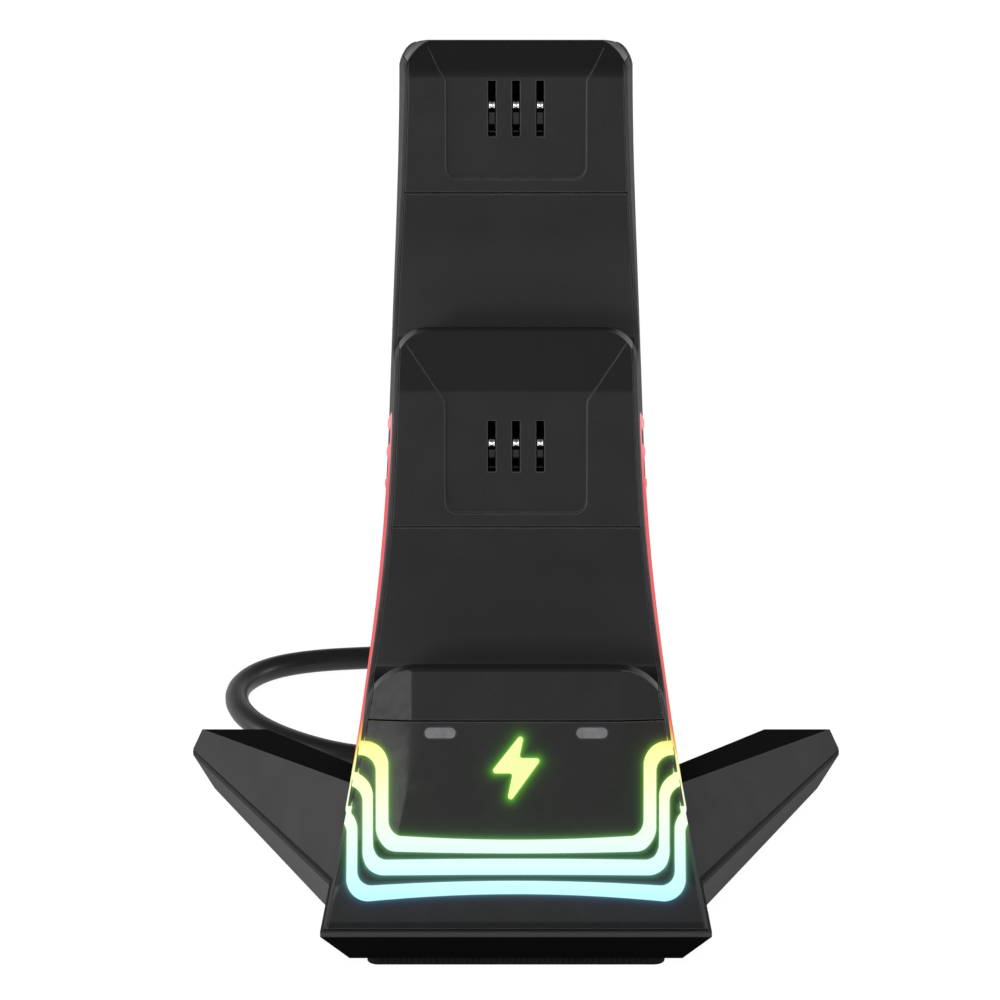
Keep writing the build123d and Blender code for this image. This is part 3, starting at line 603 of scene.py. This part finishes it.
def roundedPath(corners):
    radius, steps = sideBeads["bendRadius"], sideBeads["bendSteps"]
    points = [Vector(corners[0])]
    for before, here, after in zip(corners, corners[1:], corners[2:]):
        here = Vector(here)
        toward, onward = (Vector(before) - here).normalized(), (Vector(after) - here).normalized()
        half = toward.angle(onward) / 2
        start, end = here + toward * radius / math.tan(half), here + onward * radius / math.tan(half)
        for step in range(steps + 1):
            share = step / steps
            points.append(start.lerp(here, share).lerp(here.lerp(end, share), share))
    points.append(Vector(corners[-1]))
    path = [points[0]]
    for before, here in zip(points, points[1:]):
        count = max(1, round((here - before).length / sideBeads["spacing"]))
        path += [before.lerp(here, step / count) for step in range(1, count + 1)]
    return path


def wallPath(values, tree, side):
    lean = math.radians(sideBeads["tailLean"])
    rise = values["top"] - values["edge"]
    turnY = values["run"] + rise * sideBeads["slope"]
    reach = sideBeads["tailLength"]
    corners = [
        (values["start"], values["edge"]), (values["run"], values["edge"]), (turnY, values["top"]),
        (turnY + reach * math.cos(lean), values["top"] - reach * math.sin(lean)),
    ]
    inward = Vector((-side, 0, 0))
    points = []
    for y, z in roundedPath(corners):
        start = Vector(scaled((side * sideBeads["outside"], y, z)))
        hit, normal, face, distance = tree.ray_cast(start, inward)
        if hit is not None and abs(normal.x) > sideBeads["sideways"]:
            points.append(hit)
    return points


def beadGroup():
    group, sockets = newGroup("beadRun", {
        "Geometry": "Geometry", "Section": "Vector", "Around": "Int", "Material": "Material"})
    given = addNode(group, "NodeGroupInput")
    normal = addNode(group, "GeometryNodeSetCurveNormal", mode="FREE")
    normal.inputs["Normal"].default_value = (1, 0, 0)
    circle = addNode(group, "GeometryNodeCurvePrimitiveCircle")
    circle.inputs["Radius"].default_value = 1.0
    section = addNode(group, "GeometryNodeTransform")
    run = addNode(group, "GeometryNodeCurveToMesh")
    run.inputs["Fill Caps"].default_value = True
    smooth = addNode(group, "GeometryNodeSetShadeSmooth")
    real = addNode(group, "GeometryNodeRealizeInstances")
    finish = addNode(group, "GeometryNodeSetMaterial")
    result = addNode(group, "NodeGroupOutput")
    link = group.links.new
    link(given.outputs["Geometry"], normal.inputs["Curve"])
    link(given.outputs["Around"], circle.inputs["Resolution"])
    link(circle.outputs["Curve"], section.inputs["Geometry"])
    link(given.outputs["Section"], section.inputs["Scale"])
    link(normal.outputs["Curve"], run.inputs["Curve"])
    link(section.outputs["Geometry"], run.inputs["Profile Curve"])
    link(run.outputs["Mesh"], smooth.inputs["Geometry"])
    link(smooth.outputs["Geometry"], real.inputs["Geometry"])
    link(real.outputs["Geometry"], finish.inputs["Geometry"])
    link(given.outputs["Material"], finish.inputs["Material"])
    link(finish.outputs["Geometry"], result.inputs["Geometry"])
    return group, sockets


def addBeads():
    group, sockets = beadGroup()
    for node, values in sideBeads["runs"].items():
        tree = surfaceTree([node])
        curve = bpy.data.curves.new(node + "_path", "CURVE")
        curve.dimensions = "3D"
        for side in (-1, 1):
            points = wallPath(values, tree, side)
            spline = curve.splines.new("POLY")
            spline.points.add(len(points) - 1)
            for knot, point in zip(spline.points, points):
                knot.co = (*point, 1)
        path = addObject(node + "_path", curve)
        modifier = path.modifiers.new("bead", "NODES")
        modifier.node_group = group
        modifier[sockets["Section"]] = (sideBeads["height"] * mm, values["width"] / 2 * mm, 1.0)
        modifier[sockets["Around"]] = sideBeads["around"]
        modifier[sockets["Material"]] = finishes["litStrip"]
        mesh = evaluatedMesh(path)
        bpy.data.objects.remove(path)
        bead = addObject(node + "_bead", mesh)
        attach(bead, "dock")
        print(node, "bead has", len(mesh.polygons), "faces")


addBeads()

# copies of CAD nodes, cut finer near the lit guides so that their glow can be written on the mesh
glowMesh = {"merge": 0.001, "edge": 0.8, "passes": 7, "near": 4.0, "sharp": 25.0, "fadeOut": 4}


def mergedCopy(node):
    shape = bmesh.new()
    shape.from_mesh(nodes[node].data)
    bmesh.ops.remove_doubles(shape, verts=shape.verts, dist=glowMesh["merge"] * mm)
    return shape


def refineNear(shape, tree):
    longest = glowMesh["edge"] * mm
    for _ in range(glowMesh["passes"]):
        cut = []
        for edge in shape.edges:
            length = edge.calc_length()
            if length > longest:
                middle = (edge.verts[0].co + edge.verts[1].co) / 2
                if tree.find_nearest(middle, glowMesh["near"] * mm + length / 2)[0] is not None:
                    cut.append(edge)
        if not cut:
            break
        bmesh.ops.subdivide_edges(shape, edges=cut, cuts=1)
        bmesh.ops.triangulate(shape, faces=[face for face in shape.faces if len(face.verts) > 3])


def glowPlastic(name, values):
    material = moulded(name, values)
    tree = material.node_tree
    shader = tree.nodes["Principled BSDF"]
    strip = addNode(tree, "ShaderNodeAttribute", attribute_name="stripGlow")
    emblem = addNode(tree, "ShaderNodeAttribute", attribute_name="emblemGlow")
    stripLight = addNode(tree, "ShaderNodeVectorMath", operation="SCALE")
    emblemLight = addNode(tree, "ShaderNodeVectorMath", operation="SCALE")
    emblemLight.inputs[0].default_value = emblemGlow["halo"]
    total = addNode(tree, "ShaderNodeVectorMath", operation="ADD")
    tree.links.new(heightRamp(tree, lightColours["halo"]), stripLight.inputs[0])
    tree.links.new(strip.outputs["Fac"], stripLight.inputs["Scale"])
    tree.links.new(emblem.outputs["Fac"], emblemLight.inputs["Scale"])
    tree.links.new(stripLight.outputs["Vector"], total.inputs[0])
    tree.links.new(emblemLight.outputs["Vector"], total.inputs[1])
    tree.links.new(total.outputs["Vector"], shader.inputs["Emission Color"])
    shader.inputs["Emission Strength"].default_value = 1.0
    return material


def writeGlow(mesh, attribute, tree, spill):
    layer = mesh.attributes.new(attribute, "FLOAT", "POINT")
    farthest = glowMesh["fadeOut"] * max(reach for share, reach in spill) * mm
    for vertex in mesh.vertices:
        distance = tree.find_nearest(vertex.co, farthest)[3]
        glow = 0.0
        if distance is not None:
            glow = sum(share * math.exp(-distance / (reach * mm)) for share, reach in spill)
        layer.data[vertex.index].value = glow


def addGlowing(node, material):
    stripTree = surfaceTree(sideBeads["runs"])
    emblemTree = surfaceTree(["emblem_lens"])
    shape = mergedCopy(node)
    refineNear(shape, stripTree)
    refineNear(shape, emblemTree)
    mesh = bpy.data.meshes.new(node + "_lit")
    shape.to_mesh(mesh)
    shape.free()
    writeGlow(mesh, "stripGlow", stripTree, lightColours["spill"])
    writeGlow(mesh, "emblemGlow", emblemTree, emblemGlow["spill"])
    mesh.shade_smooth()
    mesh.set_sharp_from_angle(angle=math.radians(glowMesh["sharp"]))
    mesh.materials.append(material)
    piece = addObject(node + "_lit", mesh)
    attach(piece, "dock")
    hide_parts(node)
    print(node, "glow mesh has", len(mesh.polygons), "faces")


addGlowing("front_fascia", glowPlastic("frontPlasticLit", plastics["frontPlastic"]))
addGlowing("rear_housing", glowPlastic("shellPlasticLit", plastics["shellPlastic"]))

# stage: pale floor, soft lamps set low, surroundings that are pale below and darker overhead
stageValues = {
    "size": 6.0, "floor": 0.82, "uneven": 0.02, "patches": 3, "rough": 0.9,
    "lift": 0.92, "white": 1.045,       # share and level of the plain white that the camera sees on the floor
    "world": 0.06, "overhead": 0.2, "pale": 0.2, "dark": 0.6}
lampTarget = (0, 0, 0.10)
# turn from the front and rise in degrees, distance and size in metres, power in watts
lamps = {
    "softbox": {"turn": -28.0, "rise": 8.0, "away": 1.2, "size": 0.28, "power": 7.0, "glossy": True},
    "leftSide": {"turn": -84.0, "rise": 7.0, "away": 1.2, "size": 0.6, "power": 8.0, "glossy": True},
    "rightSide": {"turn": 90.0, "rise": 7.0, "away": 1.2, "size": 0.6, "power": 9.0, "glossy": True},
    "frontHigh": {"turn": -6.0, "rise": 42.0, "away": 1.4, "size": 0.9, "power": 14.5, "glossy": False},
    "backLeft": {"turn": -150.0, "rise": 12.0, "away": 1.3, "size": 0.7, "power": 5.0, "glossy": False},
    "backRight": {"turn": 155.0, "rise": 12.0, "away": 1.3, "size": 0.7, "power": 4.0, "glossy": False},
    "frontTop": {"turn": 0.0, "rise": 62.0, "away": 1.4, "size": 0.9, "power": 6.0, "glossy": False},
}


def seenDirectly(tree):
    path = addNode(tree, "ShaderNodeLightPath")
    first = addNode(tree, "ShaderNodeMath", operation="MAXIMUM")
    second = addNode(tree, "ShaderNodeMath", operation="MAXIMUM")
    tree.links.new(path.outputs["Is Camera Ray"], first.inputs[0])
    tree.links.new(path.outputs["Is Glossy Ray"], first.inputs[1])
    tree.links.new(first.outputs["Value"], second.inputs[0])
    tree.links.new(path.outputs["Is Transmission Ray"], second.inputs[1])
    return second.outputs["Value"]


def addFloor():
    material, tree, shader = newMaterial("paleFloor")
    level = stageValues["floor"]
    tone = mottled(tree, stageValues["patches"], grey(level), grey(level + stageValues["uneven"]))
    tree.links.new(tone, shader.inputs["Base Color"])
    shader.inputs["Roughness"].default_value = stageValues["rough"]
    shader.inputs["Specular IOR Level"].default_value = 0.0
    glow = addNode(tree, "ShaderNodeEmission")
    glow.inputs["Strength"].default_value = stageValues["white"]
    mix = addNode(tree, "ShaderNodeMixShader")
    lift = addNode(tree, "ShaderNodeMath", operation="MULTIPLY")
    lift.inputs[1].default_value = stageValues["lift"]
    tree.links.new(seenDirectly(tree), lift.inputs[0])
    tree.links.new(lift.outputs["Value"], mix.inputs["Fac"])
    tree.links.new(shader.outputs["BSDF"], mix.inputs[1])
    tree.links.new(glow.outputs["Emission"], mix.inputs[2])
    tree.links.new(mix.outputs["Shader"], tree.nodes["Material Output"].inputs["Surface"])
    half = stageValues["size"]
    mesh = bpy.data.meshes.new("pale_floor")
    corners = [(-half, -half, 0), (half, -half, 0), (half, half, 0), (-half, half, 0)]
    mesh.from_pydata(corners, [], [(0, 1, 2, 3)])
    mesh.materials.append(material)
    floor = addObject("pale_floor", mesh)


def addWorld():
    world = bpy.data.worlds.new("paleRoom")
    world.use_nodes = True
    tree = world.node_tree
    background = tree.nodes["Background"]
    background.inputs["Color"].default_value = (1, 1, 1, 1)
    coords = addNode(tree, "ShaderNodeTexCoord")
    split = addNode(tree, "ShaderNodeSeparateXYZ")
    seen = addNode(tree, "ShaderNodeMapRange")
    seen.inputs["From Min"].default_value = stageValues["pale"]
    seen.inputs["From Max"].default_value = stageValues["dark"]
    seen.inputs["To Min"].default_value = 1.0
    seen.inputs["To Max"].default_value = stageValues["overhead"]
    strength = addNode(tree, "ShaderNodeMapRange")
    strength.inputs["To Min"].default_value = stageValues["world"]
    tree.links.new(coords.outputs["Generated"], split.inputs["Vector"])
    tree.links.new(split.outputs["Z"], seen.inputs["Value"])
    tree.links.new(seenDirectly(tree), strength.inputs["Value"])
    tree.links.new(seen.outputs["Result"], strength.inputs["To Max"])
    tree.links.new(strength.outputs["Result"], background.inputs["Strength"])
    scene.world = world


def addLamp(name, values):
    data = bpy.data.lights.new(name, "AREA")
    data.size = values["size"]
    data.energy = values["power"]
    lamp = addObject(name, data)
    turn, rise = math.radians(values["turn"]), math.radians(values["rise"])
    ahead = Vector((math.sin(turn) * math.cos(rise), -math.cos(turn) * math.cos(rise), math.sin(rise)))
    lamp.location = Vector(lampTarget) + values["away"] * ahead
    lamp.rotation_euler = ahead.to_track_quat("Z", "Y").to_euler()
    lamp.visible_glossy = values["glossy"]


addFloor()
addWorld()
for name, values in lamps.items():
    addLamp(name, values)
print("stage set")
